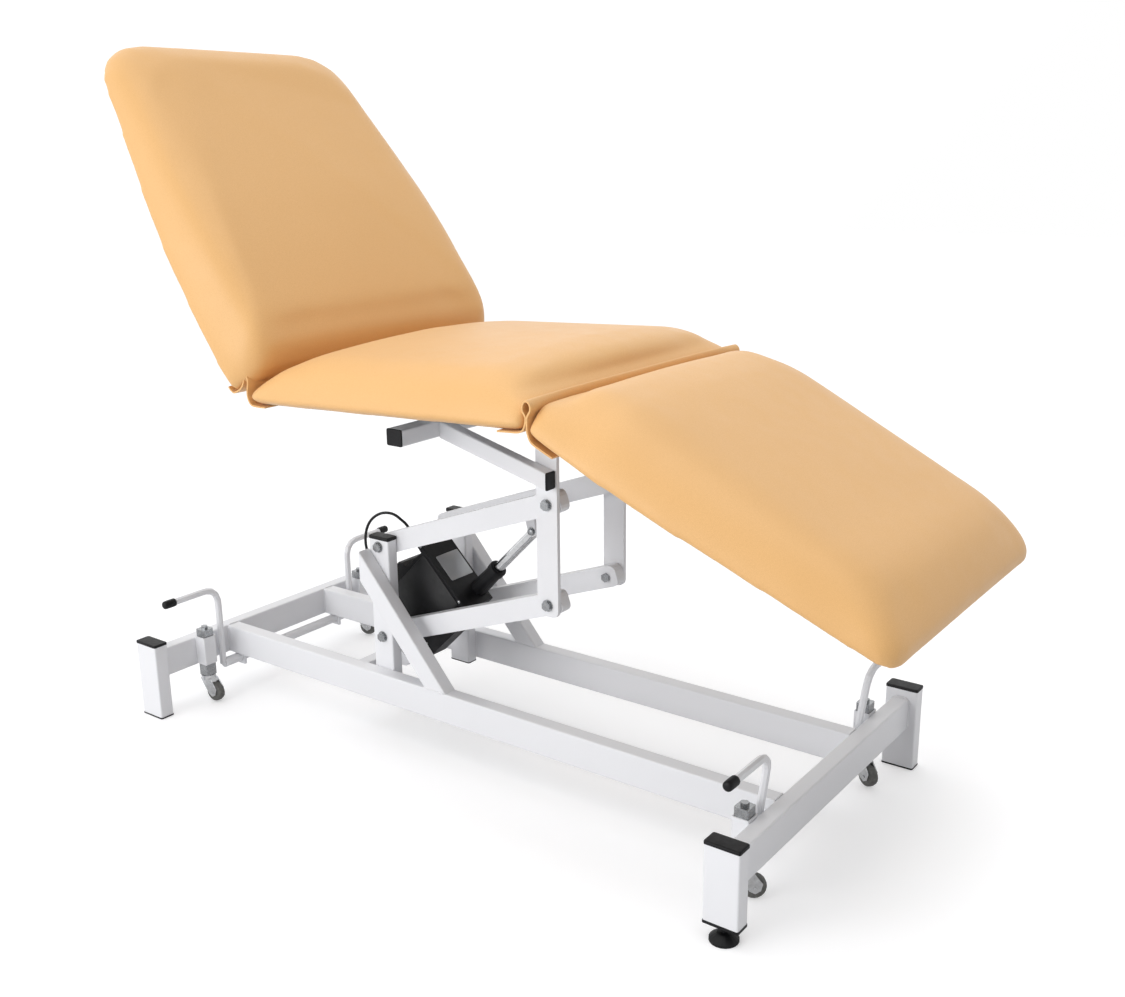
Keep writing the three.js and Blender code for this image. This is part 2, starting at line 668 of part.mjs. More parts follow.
/** Seat rail: a tube over the lift with a flat hinge bar reaching to both neighbouring sections. */
function seatRail(side, length, tubeFrom, tubeTo) {
  const tube = alongX(openTube(38, 30, tubeTo - tubeFrom)).translate(tubeFrom, side * 122.8, -19 - GAP);
  const [y0, y1] = span(side, 135, 143);
  const bar = box(0, length, y0, y1, -16, -GAP - 0.2);
  const bosses = [0, length].map((x) => yCylinder(x, -SEAT.pinDrop, 7.6, y0, y1, 20));
  const bores = [0, length].map((x) => yCylinder(x, -SEAT.pinDrop, 4 + GAP, y0 - 1, y1 + 1, 12));
  return cut(fuse(tube, bar, ...bosses), ...bores);
}

const CROSS_TUBE = { low: 629, height: 30, width: 35, x: -58.5, half: 229 };

function seatStrut(side) {
  const lowEnd = { x: 195, z: 580.5 };
  const start = { x: CROSS_TUBE.x + CROSS_TUBE.width / 2, z: 642 };
  const slope = Math.atan2(start.z - lowEnd.z, lowEnd.x - start.x);
  const length = Math.hypot(start.z - lowEnd.z, lowEnd.x - start.x);
  const y = side * (LIFT.armInner + LIFT.armThick + 0.8 + LIFT.uprightThick + GAP + 12.5);
  const tube = alongX(openTube(30, 25, length + 45)).translate(-30, 0, 0).rotateY(slope).translate(start.x, y, start.z);
  const keep = box(start.x + GAP, lowEnd.x, -300, 300, 300, 900);
  return fromManifold(Manifold.intersection([tube, keep].map(toManifold)));
}

function buildSections() {
  const hingeDrop = SEAT.pinDrop;
  const seatZ = (x) => SEAT.undersideAtBack + (x - SEAT.backHingeX) * Math.tan(radians(SEAT.tilt));
  const tilt = radians(SEAT.tilt);
  const hinge = (x) => ({ x: x + hingeDrop * Math.sin(tilt), z: seatZ(x) - hingeDrop * Math.cos(tilt) });
  const back = hinge(SEAT.backHingeX);
  const leg_ = hinge(SEAT.legHingeX);
  const length = Math.hypot(leg_.x - back.x, leg_.z - back.z);

  const seat = sectionGroup(back.x, back.z, SEAT.tilt, 1, SEAT.pinDrop);
  add("seat_board", board(16, length - 10, SEAT.halfWidth, SEAT.halfWidth, 18), "plywood", seat);
  add("seat_pad", seatPad(length), "leather", seat);
  for (const [sideName, side] of Object.entries(SIDES)) {
    add(`seat_rail_${sideName}`, seatRail(side, length, 262, 552), "white", seat);
    add(`seat_strut_${sideName}`, seatStrut(side), "white");
  }
  const crossTube = alongY(openTube(CROSS_TUBE.width, CROSS_TUBE.height, 2 * CROSS_TUBE.half));
  crossTube.translate(CROSS_TUBE.x, -CROSS_TUBE.half, CROSS_TUBE.low + CROSS_TUBE.height / 2);
  add("seat_cross_tube", crossTube, "white");

  const backGroup = sectionGroup(back.x, back.z, BACK.angle, -1, BACK.pinDrop);
  const backBoard = board(16, BACK.length, BACK.halfWidth, BACK.endHalfWidth, BACK.corner);
  add("back_board", backBoard, "plywood", backGroup);
  add("back_pad", backPad(), "leather", backGroup);
  const legGroup = sectionGroup(leg_.x, leg_.z, LEG_REST.angle, 1, LEG_REST.pinDrop);
  const legBoard = board(16, LEG_REST.length, LEG_REST.halfWidth, LEG_REST.endHalfWidth, LEG_REST.corner);
  add("leg_board", legBoard, "plywood", legGroup);
  add("leg_pad", legPad(), "leather", legGroup);
  for (const [sideName, side] of Object.entries(SIDES)) {
    add(`back_hinge_${sideName}`, hingeBar(-side, BACK.pinDrop), "zinc", backGroup);
    add(`leg_hinge_${sideName}`, hingeBar(side, LEG_REST.pinDrop), "zinc", legGroup);
  }
}

buildBase();
buildCastors();
buildLift();
buildActuator();
buildSections();

export default couch;
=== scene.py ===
import json
import math

import bmesh
import bpy
import numpy as np
from mathutils import Matrix, Vector


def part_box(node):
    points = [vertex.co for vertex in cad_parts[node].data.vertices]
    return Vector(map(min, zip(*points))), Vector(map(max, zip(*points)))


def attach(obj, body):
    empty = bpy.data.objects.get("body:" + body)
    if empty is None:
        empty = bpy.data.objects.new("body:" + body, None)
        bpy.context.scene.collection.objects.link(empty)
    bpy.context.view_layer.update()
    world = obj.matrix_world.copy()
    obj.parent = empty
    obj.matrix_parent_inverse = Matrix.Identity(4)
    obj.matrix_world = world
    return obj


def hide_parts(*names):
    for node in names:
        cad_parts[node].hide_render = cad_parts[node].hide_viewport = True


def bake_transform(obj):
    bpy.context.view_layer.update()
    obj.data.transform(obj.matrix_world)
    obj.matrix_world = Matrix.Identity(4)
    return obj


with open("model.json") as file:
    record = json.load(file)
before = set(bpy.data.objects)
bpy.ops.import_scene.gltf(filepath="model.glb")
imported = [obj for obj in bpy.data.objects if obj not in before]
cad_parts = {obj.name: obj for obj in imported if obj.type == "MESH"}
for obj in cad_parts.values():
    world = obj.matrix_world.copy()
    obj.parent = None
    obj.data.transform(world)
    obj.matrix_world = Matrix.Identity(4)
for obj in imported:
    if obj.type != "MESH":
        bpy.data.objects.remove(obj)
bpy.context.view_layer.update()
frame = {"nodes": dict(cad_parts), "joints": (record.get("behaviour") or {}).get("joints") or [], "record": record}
NODES = frame["nodes"]
JOINTS = {joint["name"]: joint for joint in frame["joints"]}
MM = 0.001
SIDES = {"l": -1, "r": 1}

# The joints' zero is the middle of the whole couch. The middle of its base is SHIFT from it.
BASE_MIDDLE = (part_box("leg_head_l")[0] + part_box("leg_foot_r")[1]) / 2
SHIFT = Vector((BASE_MIDDLE.x, BASE_MIDDLE.y, 0))


def at_base(x, y, z):
    """A point given in millimetres from the middle of the base, in the row frame in metres."""
    return Vector((x, y, z)) * MM + SHIFT


# ---------------------------------------------------------------- camera
CAMERA_TURNS = (-36.41, -15.75, -0.61)     # yaw, pitch and roll, in degrees
CAMERA_PLACE = (1438.9, -1771.8, 1132.5)   # in millimetres from the middle of the base
CAMERA_LENS = 40.43


def make_camera():
    yaw, pitch, roll = (math.radians(a) for a in CAMERA_TURNS)
    forward = Vector((math.sin(yaw) * math.cos(pitch), math.cos(yaw) * math.cos(pitch), math.sin(pitch)))
    level = Vector((math.cos(yaw), -math.sin(yaw), 0))
    up = level.cross(forward)
    right = level * math.cos(roll) + up * math.sin(roll)
    up = up * math.cos(roll) - level * math.sin(roll)
    data = bpy.data.cameras.new("camera")
    data.lens = CAMERA_LENS
    data.sensor_width = 36
    data.clip_end = 60
    camera = bpy.data.objects.new("camera", data)
    turn = Matrix((right, up, -forward)).transposed().to_4x4()
    camera.matrix_world = Matrix.Translation(at_base(*CAMERA_PLACE)) @ turn
    bpy.context.scene.collection.objects.link(camera)
    bpy.context.scene.camera = camera


# ---------------------------------------------------------------- materials
def set_range(node, low, high, to_low, to_high):
    """Fills in a Map Range node."""
    numbers = (low, high, to_low, to_high)
    for socket, number in zip(("From Min", "From Max", "To Min", "To Max"), numbers):
        node.inputs[socket].default_value = number


class Shader:
    """A material with a Principled shader and a few helpers to build its nodes."""

    MIX_COLOURS = (6, 7)   # the Mix node's two colour inputs, and its colour output
    MIX_RESULT = 2

    def __init__(self, name, colour, roughness, **sockets):
        self.material = bpy.data.materials.new(name)
        self.material.use_nodes = True
        self.tree = self.material.node_tree
        self.bsdf = self.tree.nodes["Principled BSDF"]
        self.bsdf.inputs["Base Color"].default_value = (*colour, 1)
        self.bsdf.inputs["Roughness"].default_value = roughness
        for socket, value in sockets.items():
            self.bsdf.inputs[socket.replace("_", " ")].default_value = value
        self.colour = colour
        self.coords = self.node("ShaderNodeTexCoord").outputs["Object"]
        self.height = None

    def node(self, kind, **settings):
        made = self.tree.nodes.new(kind)
        for key, value in settings.items():
            setattr(made, key, value)
        return made

    def link(self, a, b):
        self.tree.links.new(a, b)

    def noise(self, scale, detail=2.0, roughness=0.5, stretch=None):
        made = self.node("ShaderNodeTexNoise")
        made.inputs["Scale"].default_value = scale
        made.inputs["Detail"].default_value = detail
        made.inputs["Roughness"].default_value = roughness
        coords = self.coords
        if stretch:
            mapping = self.node("ShaderNodeMapping")
            mapping.inputs["Scale"].default_value = stretch
            self.link(coords, mapping.inputs["Vector"])
            coords = mapping.outputs["Vector"]
        self.link(coords, made.inputs["Vector"])
        return made.outputs["Fac"]

    def voronoi(self, scale, feature="DISTANCE_TO_EDGE"):
        made = self.node("ShaderNodeTexVoronoi", feature=feature)
        made.inputs["Scale"].default_value = scale
        self.link(self.coords, made.inputs["Vector"])
        return made.outputs["Distance"]

    def remap(self, value, low, high, to_low=0.0, to_high=1.0):
        made = self.node("ShaderNodeMapRange")
        set_range(made, low, high, to_low, to_high)
        self.link(value, made.inputs["Value"])
        return made.outputs["Result"]

    def math(self, operation, a, b):
        made = self.node("ShaderNodeMath", operation=operation)
        for index, value in enumerate((a, b)):
            if isinstance(value, (int, float)):
                made.inputs[index].default_value = value
            else:
                self.link(value, made.inputs[index])
        return made.outputs["Value"]

    def blend_colours(self, factor, first, second):
        made = self.node("ShaderNodeMix", data_type="RGBA")
        self.link(factor, made.inputs["Factor"])
        for index, colour in zip(self.MIX_COLOURS, (first, second)):
            if isinstance(colour, tuple):
                made.inputs[index].default_value = (*colour, 1)
            else:
                self.link(colour, made.inputs[index])
        return made.outputs[self.MIX_RESULT]

    def set_colour(self, output):
        self.link(output, self.bsdf.inputs["Base Color"])

    def vary_colour(self, factor, darker, lighter):
        """Colour between two multiples of the base colour."""
        low = tuple(c * darker for c in self.colour)
        high = tuple(min(1, c * lighter) for c in self.colour)
        self.set_colour(self.blend_colours(factor, low, high))

    def set_roughness(self, value, low, high):
        self.link(self.remap(value, 0.25, 0.75, low, high), self.bsdf.inputs["Roughness"])

    def bump(self, height, strength, distance):
        made = self.node("ShaderNodeBump")
        made.inputs["Strength"].default_value = strength
        made.inputs["Distance"].default_value = distance
        self.link(height, made.inputs["Height"])
        if self.height:
            self.link(self.height, made.inputs["Normal"])
        self.height = made.outputs["Normal"]
        self.link(self.height, self.bsdf.inputs["Normal"])


def upholstery_material():
    s = Shader("upholstery", (0.79, 0.468, 0.192), 0.46, Sheen_Weight=0.12, Sheen_Roughness=0.4)
    s.bsdf.inputs["Specular IOR Level"].default_value = 0.42
    cells = s.remap(s.voronoi(620), 0.0, 0.28)
    pores = s.remap(s.noise(1500, 3.0), 0.35, 0.65)
    tone = s.remap(s.noise(3.2, 2.0), 0.35, 0.65)
    mottled = s.blend_colours(tone, (0.785, 0.462, 0.186), (0.815, 0.488, 0.204))
    in_grooves = s.blend_colours(s.remap(cells, 0, 1), (0.74, 0.425, 0.165), mottled)
    s.set_colour(in_grooves)
    s.set_roughness(s.noise(28, 3.0), 0.40, 0.50)
    s.bump(s.noise(11, 2.0), 0.12, 0.0015)
    s.bump(s.math("ADD", cells, s.math("MULTIPLY", pores, 0.35)), 0.22, 0.00022)
    return s.material


def powder_coat_material():
    s = Shader("white_paint", (0.81, 0.815, 0.84), 0.3, Coat_Weight=0.15, Coat_Roughness=0.18)
    s.vary_colour(s.remap(s.noise(5, 2.0), 0.3, 0.7), 0.975, 1.0)
    s.set_roughness(s.noise(18, 2.0), 0.28, 0.36)
    s.bump(s.noise(520, 2.0), 0.06, 0.0001)
    return s.material


def plated_material(name, colour, low, high):
    s = Shader(name, colour, 0.25, Metallic=1.0)
    s.vary_colour(s.remap(s.noise(160, 4.0), 0.3, 0.7), 0.82, 1.05)
    s.set_roughness(s.noise(340, 3.0), low, high)
    s.bump(s.noise(900, 2.0), 0.08, 0.0001)
    return s.material


def plastic_material(name, colour, low, high, grain=900):
    s = Shader(name, colour, 0.4)
    s.bsdf.inputs["Specular IOR Level"].default_value = 0.28
    s.vary_colour(s.remap(s.noise(40, 3.0), 0.3, 0.7), 0.8, 1.25)
    s.set_roughness(s.noise(120, 3.0), low, high)
    s.bump(s.remap(s.voronoi(grain, "F1"), 0, 0.7), 0.18, 0.00012)
    return s.material


def tyre_material():
    s = Shader("wheel_grey", (0.125, 0.125, 0.118), 0.6)
    dust = s.remap(s.noise(180, 5.0, 0.7), 0.42, 0.7)
    s.set_colour(s.blend_colours(dust, (0.11, 0.11, 0.104), (0.165, 0.163, 0.152)))
    s.set_roughness(s.noise(260, 3.0), 0.5, 0.72)
    s.bump(s.noise(1200, 3.0), 0.15, 0.0001)
    return s.material


def lining_material():
    s = Shader("lining", (0.022, 0.022, 0.024), 0.9, Sheen_Weight=0.25)
    fibres = s.noise(520, 4.0, 0.7, (1, 6, 1))
    s.vary_colour(s.remap(fibres, 0.35, 0.7), 0.6, 1.8)
    s.bump(fibres, 0.5, 0.0003)
    return s.material


def plywood_material():
    s = Shader("plywood", (0.55, 0.39, 0.22), 0.6)
    grain = s.noise(14, 6.0, 0.6, (1, 12, 12))
    s.vary_colour(s.remap(grain, 0.3, 0.7), 0.72, 1.08)
    s.bump(grain, 0.2, 0.0003)
    return s.material


def label_material():
    s = Shader("label_silver", (0.42, 0.43, 0.44), 0.38, Metallic=0.55)
    s.vary_colour(s.remap(s.noise(900, 2.0, 0.5, (1, 1, 9)), 0.3, 0.7), 0.88, 1.08)
    s.set_roughness(s.noise(300, 2.0), 0.32, 0.45)
    s.bump(s.noise(500, 2.0), 0.05, 0.0001)
    return s.material


MATERIALS = {
    "upholstery": upholstery_material(),
    "white_paint": powder_coat_material(),
    "zinc_steel": plated_material("zinc_steel", (0.38, 0.39, 0.40), 0.18, 0.34),
    "chrome": plated_material("chrome", (0.74, 0.75, 0.76), 0.1, 0.24),
    "black_plastic": plastic_material("black_plastic", (0.0045, 0.0045, 0.0055), 0.4, 0.55),
    "cable_black": plastic_material("cable_black", (0.010, 0.010, 0.011), 0.32, 0.45, 1400),
    "wheel_grey": tyre_material(),
    "lining": lining_material(),
    "label_silver": label_material(),
    "plywood": plywood_material(),
}


# ---------------------------------------------------------------- mesh helpers
def new_object(name, vertices, faces, slot, smooth=True, sharp=None):
    mesh = bpy.data.meshes.new(name)
    mesh.from_pydata([tuple(v) for v in vertices], [], [tuple(f) for f in faces])
    mesh.update()
    return finish_mesh(name, mesh, slot, smooth, sharp)


def finish_mesh(name, mesh, slot, smooth=True, sharp=None):
    bm = bmesh.new()
    bm.from_mesh(mesh)
    bmesh.ops.recalc_face_normals(bm, faces=bm.faces)
    bm.to_mesh(mesh)
    bm.free()
    mesh.polygons.foreach_set("use_smooth", [smooth] * len(mesh.polygons))
    if sharp:
        mesh.set_sharp_from_angle(angle=math.radians(sharp))
    mesh.materials.append(MATERIALS[slot])
    made = bpy.data.objects.new(name, mesh)
    bpy.context.scene.collection.objects.link(made)
    return made


def add_bevel(obj, width):
    bevel = obj.modifiers.new("bevel", "BEVEL")
    bevel.width = width
    bevel.segments = 2
    bevel.limit_method = "ANGLE"
    bevel.angle_limit = math.radians(40)


def add_subdivision(obj):
    subdivision = obj.modifiers.new("subdivision", "SUBSURF")
    subdivision.levels = 1
    subdivision.render_levels = 1


def loft(rings):
    """Vertices and faces of a closed skin over rings with the same number of points."""
    count = len(rings[0])
    vertices = [point for ring in rings for point in ring]
    faces = []
    for r in range(len(rings) - 1):
        for i in range(count):
            a, b = r * count + i, r * count + (i + 1) % count
            faces.append((a, b, b + count, a + count))
    faces.append(tuple(range(count - 1, -1, -1)))
    faces.append(tuple(range((len(rings) - 1) * count, len(rings) * count)))
    return vertices, faces


def frames_along(points):
    """Unit direction and two crossing directions at each point, without twist."""
    points = [Vector(p) for p in points]
    directions = []
    for i in range(len(points)):
        a, b = points[max(0, i - 1)], points[min(len(points) - 1, i + 1)]
        directions.append((b - a).normalized())
    side = directions[0].orthogonal().normalized()
    result = []
    for direction in directions:
        side = (side - direction * side.dot(direction)).normalized()
        result.append((direction, side, direction.cross(side)))
    return result


def tube(points, radii, sides):
    rings = []
    for point, radius, (_, side, other) in zip(points, radii, frames_along(points)):
        ring = []
        for i in range(sides):
            turn = 2 * math.pi * i / sides
            ring.append(Vector(point) + (side * math.cos(turn) + other * math.sin(turn)) * radius)
        rings.append(ring)
    return loft(rings)


def smooth_line(points, steps):
    """Catmull-Rom line through the points."""
    points = [Vector(p) for p in points]
    padded = [points[0] * 2 - points[1], *points, points[-1] * 2 - points[-2]]
    line = []
    for i in range(1, len(padded) - 2):
        p0, p1, p2, p3 = padded[i - 1:i + 3]
        for s in range(steps):
            t = s / steps
            line.append(0.5 * (
                p1 * 2 + (p2 - p0) * t + (p0 * 2 - p1 * 5 + p2 * 4 - p3) * t * t
                + (p1 * 3 - p0 - p2 * 3 + p3) * t ** 3
            ))
    line.append(points[-1])
    return line


def hull_outline(points):
    """Convex outline of 2-D points, in order."""
    points = sorted(set((round(x, 7), round(y, 7)) for x, y in points))

    def half(sequence):
        chain = []
        for p in sequence:
            while len(chain) > 1:
                (ax, ay), (bx, by) = chain[-2:]
                if (bx - ax) * (p[1] - ay) - (by - ay) * (p[0] - ax) > 1e-12:
                    break
                chain.pop()
            chain.append(p)
        return chain[:-1]

    return half(points) + half(points[::-1])


def end_cap(name, node, direction, body, proud=0.5, thick=3.0, over=2.0, dome=0.8):
    """
    Plastic cap on the end of a tube. It follows the end's outline, stands proud of its sides,
    laps over them and is thick millimetres thick, with a rounded edge of size dome.
    """
    direction = Vector(direction).normalized()
    co = np.array([v.co for v in NODES[node].data.vertices])
    reach = co @ np.array(direction)
    end = co[reach > reach.max() - 0.0002]
    if abs(direction.z) < 0.99:
        side = direction.cross(Vector((0, 0, 1))).normalized()
    else:
        side = Vector((1, 0, 0))
    other = direction.cross(side)
    axes = np.array([side, other])
    outline = hull_outline([tuple(axes @ point) for point in end])
    lo, hi = np.array(outline).min(0), np.array(outline).max(0)
    middle = (lo + hi) / 2
    half = (hi - lo) / 2

    def ring(grow, height):
        level = direction * (float(reach.max()) + height * MM)
        result = []
        for point in outline:
            x, y = middle + (np.array(point) - middle) * (half + grow * MM) / half
            result.append(side * float(x) + other * float(y) + level)
        return result

    rings = [
        ring(proud, -over),
        ring(proud, thick - dome * 1.2),
        ring(proud - dome * 0.35, thick - dome * 0.4),
        ring(proud - dome, thick),
        ring(proud - 3.2, thick + 0.1),
    ]
    cap = new_object(name, *loft(rings), "black_plastic", sharp=50)
    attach(cap, body)


# ---------------------------------------------------------------- sections
class Section:
    """
    Directions of a tilted part: along it, across the couch and square to both. Its origin is
    rise millimetres above the pivot. The cushions and the actuator are laid out in them.
    """

    def __init__(self, pivot, degrees, direction, rise):
        a = math.radians(degrees)
        self.along = Vector((direction * math.cos(a), 0, math.sin(a)))
        self.normal = Vector((-direction * math.sin(a), 0, math.cos(a)))
        self.across = Vector((0, 1, 0))
        self.origin = Vector(pivot) + self.normal * rise * MM

    def place(self, x, y, z):
        return self.origin + (self.along * x + self.across * y + self.normal * z) * MM

    def local(self, co):
        """Row-frame points as an array of local ones, in millimetres."""
        axes = np.array([self.along, self.across, self.normal]).T
        return (np.asarray(co) - np.array(self.origin)) @ axes / MM

    def world(self, local):
        axes = np.array([self.along, self.across, self.normal])
        return np.asarray(local) * MM @ axes + np.array(self.origin)


BACK_PIVOT = Vector(JOINTS["backrest_angle"]["pos_m"])
LEG_PIVOT = Vector(JOINTS["legrest_angle"]["pos_m"])
SEAT = Section(BACK_PIVOT, degrees=2.43, direction=1, rise=8)
BACK = Section(BACK_PIVOT, degrees=57.9, direction=-1, rise=-4.2)
LEG = Section(LEG_PIVOT, degrees=-24.2, direction=1, rise=3.4)
SEAT_LENGTH = SEAT.local([LEG_PIVOT])[0][0]
BACK_LENGTH, BACK_HALF_WIDTHS = 744, (337, 306)   # of the CAD pads, at the hinge and at the end
LEG_LENGTH, LEG_HALF_WIDTHS = 625, (327, 303)


def mesh_points(mesh):
    co = np.zeros(len(mesh.vertices) * 3, np.float32)
    mesh.vertices.foreach_get("co", co)
    return co.reshape(-1, 3).astype(float)


def set_points(mesh, co):
    mesh.vertices.foreach_set("co", np.asarray(co, np.float32).ravel())
    mesh.update()


def evaluated(obj):
    depsgraph = bpy.context.evaluated_depsgraph_get()
    return bpy.data.meshes.new_from_object(obj.evaluated_get(depsgraph))


def smooth_field(mesh, field, rounds):
    """Averages a value per vertex with its neighbours, so that it varies slowly over the mesh."""
    pairs = np.zeros(len(mesh.edges) * 2, np.int32)
    mesh.edges.foreach_get("vertices", pairs)
    first, second = pairs.reshape(-1, 2).T
    count = len(field)
    degree = np.bincount(first, minlength=count) + np.bincount(second, minlength=count)
    field = np.array(field, float)
    for _ in range(rounds):
        for axis in range(field.shape[1]):
            column = field[:, axis]
            total = np.bincount(first, column[second], count) + np.bincount(second, column[first], count)
            field[:, axis] = 0.5 * column + 0.5 * total / degree
    return field


BOARD_TOP = 16.0
LINING_THICKNESS = 1.6
VOXEL = 0.006


def cushion(name, node, board, section, shape, cap, crown):
    """
    A padded section. The CAD pad and its board become one closed skin, which is remeshed and
    blown up as cloth with its underside held to the board. shape then moves its local points.
    """
    source = NODES[node].data.copy()
    local = section.local(mesh_points(source))
    local[local[:, 2] < BOARD_TOP, 2] = LINING_THICKNESS
    set_points(source, section.world(local))
    obj = bpy.data.objects.new(name, source)
    bpy.context.scene.collection.objects.link(obj)
    remesh = obj.modifiers.new("remesh", "REMESH")
    remesh.mode = "VOXEL"
    remesh.voxel_size = VOXEL
    smooth = obj.modifiers.new("smooth", "SMOOTH")
    smooth.factor = 0.5
    smooth.iterations = 12
    mesh = evaluated(obj)
    obj.modifiers.clear()
    obj.data = mesh
    low, high = local.min(0), local.max(0) + (0, 0, crown)
    inflate(obj, section, cap)
    mesh = obj.data
    local = smooth_field(mesh, section.local(mesh_points(mesh)), 6)
    local = low + (local - local.min(0)) * (high - low) / np.ptp(local, axis=0)
    set_points(mesh, section.world(smooth_field(mesh, shape(local), 3)))
    bpy.data.objects.remove(obj)
    mesh.materials.clear()
    pad = finish_mesh(name, mesh, "upholstery")
    add_subdivision(pad)
    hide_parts(node, board)
    return pad


HELD_BELOW = 7.0
CLOTH_FRAMES = 20


def inflate(obj, section, cap):
    """Cloth simulation with pressure. A point moves no farther than cap millimetres."""
    scene = bpy.context.scene
    before = section.local(mesh_points(obj.data))
    group = obj.vertex_groups.new(name="held")
    for index in np.flatnonzero(before[:, 2] < HELD_BELOW):
        group.add([int(index)], 1.0, "REPLACE")
    cloth = obj.modifiers.new("cloth", "CLOTH")
    settings = cloth.settings
    settings.quality = 5
    settings.mass = 0.35
    settings.tension_stiffness = 18
    settings.compression_stiffness = 18
    settings.shear_stiffness = 6
    settings.bending_stiffness = 4
    settings.use_pressure = True
    settings.uniform_pressure_force = 4
    settings.vertex_group_mass = "held"
    settings.effector_weights.gravity = 0
    cloth.collision_settings.use_collision = False
    cloth.point_cache.frame_start = 1
    cloth.point_cache.frame_end = CLOTH_FRAMES
    for number in range(1, CLOTH_FRAMES + 1):
        scene.frame_set(number)
    mesh = evaluated(obj)
    scene.frame_set(1)
    obj.modifiers.clear()
    obj.data = mesh
    moved = smooth_field(mesh, section.local(mesh_points(mesh)) - before, 60)
    length = np.linalg.norm(moved, axis=1, keepdims=True)
    share = np.where(length > 1e-6, np.tanh(length / cap) * cap / np.maximum(length, 1e-6), 0)
    set_points(mesh, section.world(before + moved * share))


def ease(value, low, high):
    t = np.clip((value - low) / (high - low), 0, 1)
    return t * t * (3 - 2 * t)


def smooth_interp(x, stations, values, spread=15):
    """Interpolates with a little rounding between the stations."""
    offsets = (-2 * spread, -spread, 0, spread, 2 * spread)
    return sum(np.interp(x + offset, stations, values) for offset in offsets) / len(offsets)


def lower_edges(local, stations, shares):
    """Lets the crown fall off to the long sides: distances from the middle, shares of the height."""
    local[:, 2] *= smooth_interp(np.abs(local[:, 1]), stations, shares, 8)


def fit_end(local, profile, reach, hinge=0.0, sign=1.0):
    """
    Moves the end of a pad at a joint to a profile: rows of height and distance from the hinge,
    which grows into the pad. The move fades out over reach.
    """
    heights, targets = np.array(profile, float).T
    distance = (local[:, 0] - hinge) * sign
    middle = np.abs(local[:, 1]) < 200
    levels = np.arange(2, local[:, 2].max(), 4)
    ends, shifts = [], []
    for level in levels:
        band = middle & (np.abs(local[:, 2] - level) < 4) & (distance < 150)
        if band.any():
            end = distance[band].min()
            ends.append(level)
            shifts.append(np.interp(level, heights, targets) - end)
    shift = np.interp(local[:, 2], ends, shifts)
    local[:, 0] += sign * shift * (1 - ease(distance, 15, reach))
    square_corners(local, hinge, sign)


def square_corners(local, hinge, sign):
    """Squares up the corners of a pad, seen from above, along its end at a joint."""
    distance = (local[:, 0] - hinge) * sign
    across = np.abs(local[:, 1])
    ends = []
    widths = np.arange(150, 331, 10)
    for width in widths:
        band = (np.abs(across - width) < 6) & (distance < 150)
        ends.append(distance[band].min())
    back = np.interp(across, widths, np.array(ends) - ends[0])
    back *= 1 - ease(across, 318, 345) * 0.5
    local[:, 0] -= sign * 0.85 * back * (1 - ease(distance, 20, 80))


# The ends of the pads at the joints: rows of height above the underside and distance from the
# hinge, in millimetres.
SEAT_END_AT_BACK = (
    (0, 46), (3, 34), (8, 26.5), (16, 20.5), (24, 19), (60, 37), (76, 45), (90, 52),
)
BACK_END_AT_SEAT = (
    (0, 42), (3, 34), (8, 30), (16, 29), (40, 29), (60, 31), (76, 35.5), (90, 40), (110, 47),
)
SEAT_END_AT_LEG = (
    (0, 34), (2, 24), (5, 16), (10, 11), (18, 7.5), (30, 6), (42, 6), (50, 10), (60, 22),
)
LEG_END_AT_SEAT = (
    (0, 12), (3, 2), (8, -4), (15, -9), (25, -14.5), (36, -19), (44, -19), (52, -6), (60, 6),
)

# How the crowns fall off to the long sides: distances from the middle, and shares of the height.
DOME_STATIONS = (0, 100, 150, 220, 260, 285, 300, 320, 345)
SEAT_DOME = (DOME_STATIONS, (1.05, 1.02, 0.99, 0.925, 0.87, 0.81, 0.76, 0.70, 0.64))
LEG_DOME = (DOME_STATIONS, (1.04, 1.03, 1.02, 1.0, 0.93, 0.85, 0.79, 0.71, 0.64))
BACK_DOME = ((0, 215, 255, 285, 310, 330, 345), (1, 1, 1, 0.995, 0.975, 0.91, 0.85))

# Along the pads: distances from the hinge with the half width or the share of the height there.
BACK_WIDTHS = (
    (0, 60, 150, 280, 360, 442, 525, 608, 744),
    (330, 335, 340, 343, 340, 332, 322, 311, 304),
)
BACK_BULGE = ((0, 80, 170, 270, 370, 480, 600, 744), (1.0, 1.03, 1.08, 1.12, 1.12, 1.06, 0.98, 0.90))
LEG_WIDTHS = (
    (0, 44, 124, 199, 269, 336, 402, 468, 529, 625),
    (325, 330, 335, 334, 330, 323, 317, 313, 307, 301),
)
LEG_RISE = ((-20, -8, 5, 22, 40, 63, 103, 150), (0.40, 0.44, 0.58, 0.74, 0.84, 0.91, 0.98, 1))


def round_underside(local, radius=15):
    """Rolls the lower edges of the long sides inwards."""
    across = np.abs(local[:, 1])
    inset = radius * (1 - ease(local[:, 2], 0, radius)) * ease(across, 250, 335)
    local[:, 1] -= np.sign(local[:, 1]) * inset


def seat_shape(local):
    x = local[:, 0]
    local[:, 1] *= 1 + 0.014 * np.sin(np.clip(x / SEAT_LENGTH, 0, 1) * math.pi)
    lower_edges(local, *SEAT_DOME)
    local[:, 2] *= 1 - 0.45 * (1 - np.clip((SEAT_LENGTH - x) / 112, 0, 1)) ** 2
    fall = 0.34 - 0.16 * ease(np.abs(local[:, 1]), 60, 330)
    local[:, 2] *= 1 - fall * (1 - ease(x, 20, 200))
    fit_end(local, SEAT_END_AT_BACK, 90)
    fit_end(local, SEAT_END_AT_LEG, 90, SEAT_LENGTH, -1)
    round_underside(local)
    return local


